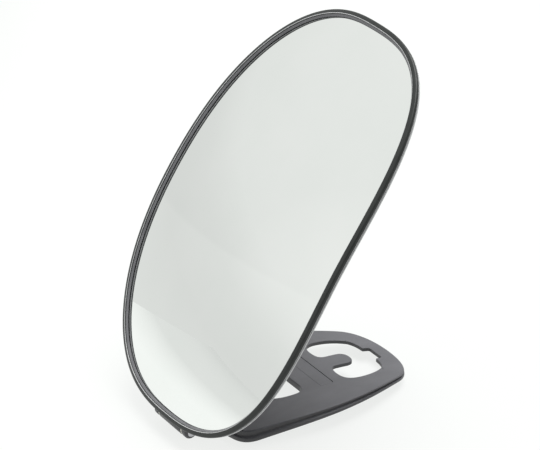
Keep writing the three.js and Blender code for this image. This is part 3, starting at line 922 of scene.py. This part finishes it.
def stand_material():
    """The stand's plastic is painted lighter where it faces up, as painted top light, and stays dark on its
    walls, as painted shade.
    """
    dark, light = (0.046, 0.046, 0.049), (0.058, 0.058, 0.062)
    surface = moulded("stand_plastic_look", dark, light, (0.34, 0.5), 0.45, 0.01)
    top_light_patches = surface.noise(1 / (14 * MM), 6, 0.62, stretch=(1, 0.6, 1))
    painted_top_light = surface.ramp(top_light_patches, [(0.3, (0.092, 0.092, 0.102)), (0.7, (0.118, 0.118, 0.13))])
    # painted top light on up-facing faces; the walls keep the dark colour as painted shade
    surface.link(surface.mix(surface.facing_up(0.05, 0.9), surface.colour, painted_top_light), "Base Color")
    return surface.material


def foam_material():
    dark, light = (0.58, 0.57, 0.52), (0.72, 0.71, 0.66)
    return moulded("pad_foam_look", dark, light, (0.9, 0.98), 0.7, 0.15, 3).material


def rubber_material():
    dark, light = (0.010, 0.010, 0.011), (0.022, 0.022, 0.024)
    return moulded("foot_rubber_look", dark, light, (0.75, 0.92), 0.3, 0.02, 3).material


def nylon_material():
    dark, light = (0.72, 0.7, 0.62), (0.8, 0.78, 0.71)
    return moulded("bush_nylon_look", dark, light, (0.45, 0.6), 0.3, 0.006, 2).material


def steel_material():
    surface = Surface("hinge_steel_look")
    stain = surface.noise(1 / (1.6 * MM), 4)
    surface.link(surface.ramp(stain, [(0.35, (0.42, 0.42, 0.43)), (0.7, (0.58, 0.58, 0.6))]), "Base Color")
    turning = surface.noise(1 / (0.5 * MM), 3, 0.6, stretch=(0.2, 1, 1))
    surface.link(surface.ramp(turning, [(0.3, 0.24), (0.75, 0.42)]), "Roughness")
    surface.bump(turning, 0.006)
    surface.set(Metallic=1.0)
    return surface.material


# ------------------------------------------------------------ the pieces
glass_look = mirror_material()
rim_look = rim_material()
lip_look = lip_material()
painted_highlight_look = painted_highlight_material()
shell_look = shell_material()
stand_look = stand_material()
foam_look = foam_material()
rubber_look = rubber_material()
nylon_look = nylon_material()
steel_look = steel_material()

add_piece("mirror_glass_fine", "mirror_head", "silvered_glass", ["mirror_glass"], [glass_part()], glass_look)
rim_line = rim_profile()
add_piece(
    "front_rim_fine", "mirror_head", "rim_plastic", ["front_rim"],
    [outwards(loft([oval_ring(x, d) for x, d, _ in rim_line], wrap_profile=True))],
    rim_look, lip_look, painted_highlight_look, bands=[number for _, _, number in rim_line],
)
shell_line = shell_profile()
add_piece(
    "back_shell_fine", "mirror_head", "shell_plastic", ["back_shell"],
    [outwards(loft([oval_ring(x, d) for x, d, _ in shell_line], centre=True)), ear_part(-1), ear_part(1)],
    shell_look, painted_highlight_look, bands=[number for _, _, number in shell_line[:-1]],
)
add_piece(
    "stand_plate_fine", "stand", "stand_plastic", ["stand_plate"],
    plate_parts() + [neck_strap_part(), knuckle_part()], stand_look,
)
add_piece("bridge_inlay_fine", "stand", "stand_plastic", ["bridge_inlay"], [inlay_part()], stand_look)
for word, size_and_place in FEET.items():
    foot = f"foot_{word}"
    add_piece(f"{foot}_fine", "stand", "foot_rubber", [foot], [foot_part(*size_and_place)], rubber_look)
for side, word in ((-1, "left"), (1, "right")):
    bush, washer = f"bush_{word}", f"wave_washer_{word}"
    add_piece(f"{bush}_fine", "stand", "bush_nylon", [bush], [bush_part(side)], nylon_look)
    add_piece(f"{washer}_fine", "stand", "hinge_steel", [washer], [washer_part(side)], steel_look)
add_piece("hinge_pin_fine", "mirror_head", "hinge_steel", ["hinge_pin"], [pin_part()], steel_look)
add_piece("pin_cap_fine", "mirror_head", "hinge_steel", ["pin_cap"], [cap_part()], steel_look)
for node in ("foam_pad_top", "foam_pad_middle", "foam_pad_bottom"):
    for material_slot in frame["nodes"][node].material_slots:
        material_slot.material = foam_look

# ------------------------------------------------------------ studio
# A pale table in a pale room. A wedge is missing from the table, off to the left in front of the mirror.
# In the glass, the wedge's edge shows as a line between the bright table and the greyer room.
FLOOR = 4.0  # metres, as all of the studio; the table reaches this far each way
WEDGE_TIP = (-0.262, -0.115)
WEDGE_FOOT = (-3.3, -FLOOR)


def floor_material():
    """A matt table with a painted glow, an emission of its own that lightens the shadows on it, a little
    weaker a way off in front of the glass.
    """
    surface = Surface("studio_floor")
    surface.set(Base_Color=(0.14, 0.141, 0.14, 1), Roughness=0.9, Specular_IOR_Level=0.1)
    surface.set(Emission_Color=(0.985, 1.0, 0.985, 1))
    # painted glow: the emission's strength falls off towards the front left
    surface.link(surface.along((-0.616, -0.788, 0), (0.2, 0.42), (0.8, 0.6)), "Emission Strength")
    return surface.material


corners = [(FLOOR, -FLOOR, 0), (FLOOR, FLOOR, 0), (-FLOOR, FLOOR, 0), (-FLOOR, WEDGE_TIP[1], 0)]
corners += [(*WEDGE_TIP, 0), (*WEDGE_FOOT, 0)]
floor_mesh = bpy.data.meshes.new("studio_floor")
floor_mesh.from_pydata(corners, [], [tuple(range(len(corners)))])
floor_mesh.materials.append(floor_material())
floor = bpy.data.objects.new("studio_floor", floor_mesh)
bpy.context.scene.collection.objects.link(floor)


def soft_light(name, place, aim, size, watts):
    light = bpy.data.lights.new(name, "AREA")
    light.shape = "DISK"
    light.size = size
    light.energy = watts
    lamp = bpy.data.objects.new(name, light)
    lamp.location = place
    lamp.rotation_euler = (Vector(aim) - Vector(place)).to_track_quat("-Z", "Y").to_euler()
    bpy.context.scene.collection.objects.link(lamp)


soft_light("overhead", (-0.2, 0.5, 2.2), (0, 0, 0.05), 1.8, 50)


def pale(grey):
    """A grey with a trace of green."""
    return (0.995 * grey, 1.005 * grey, 0.992 * grey)


def room_world():
    """A plain room, shaded by direction: X and Y along the floor, Z up."""
    world = bpy.data.worlds.new("studio_world")
    world.use_nodes = True
    room = Shading(world.node_tree, "Generated")
    up = (0, 0, 1)
    height = room.along(up, (-0.4, 1.0))
    steps = ((0.0, 0.84), (0.18, 0.8), (0.29, 0.765), (0.4, 0.8), (0.5, 0.88), (0.7, 0.91), (1.0, 0.93))
    walls = room.ramp(height, [(at, pale(grey)) for at, grey in steps])
    ceiling_edge = room.along(Vector((-0.141, 0.405, 0.903)).normalized(), (-0.004, 0.008))
    walls = room.mix(ceiling_edge, walls, (0.965, 0.965, 0.965), "MULTIPLY")
    bright_end = room.times(room.along((0, -1, 0), (0.66, 0.95)), room.along(up, (0.1, 0.5)))
    walls = room.mix(bright_end, walls, (0.97, 0.97, 0.96))
    dim_side = room.along(Vector((1, 0.1, 0)).normalized(), (-0.1, 0.45))
    dim_steps = ((0.0, 0.7), (0.28, 0.25), (0.6, 0.25), (1.0, 0.9))
    dim = room.ramp(height, [(at, pale(grey)) for at, grey in dim_steps])
    background = room.tree.nodes["Background"]
    room.tree.links.new(room.mix(dim_side, walls, dim), background.inputs["Color"])
    return world


bpy.context.scene.world = room_world()

# ------------------------------------------------------------ camera
AZIMUTH = math.radians(57.1)  # from -Y towards +X
ELEVATION = math.radians(27.79)
DISTANCE = 1600  # a long lens from far off
aim = np.array([15.18, 60 + HINGE[1] - AXIS_Y, 117.05 + LIFT])
away = np.array([
    math.sin(AZIMUTH) * math.cos(ELEVATION),
    -math.cos(AZIMUTH) * math.cos(ELEVATION),
    math.sin(ELEVATION),
])
lens = bpy.data.cameras.new("camera")
lens.sensor_width = 36
lens.lens = 200
lens.clip_end = 50
camera = bpy.data.objects.new("camera", lens)
camera.location = tuple((aim + DISTANCE * away) * MM)
camera.rotation_euler = (-Vector(away)).to_track_quat("-Z", "Y").to_euler()
bpy.context.scene.collection.objects.link(camera)
bpy.context.scene.camera = camera
bpy.context.scene.view_settings.view_transform = "Standard"
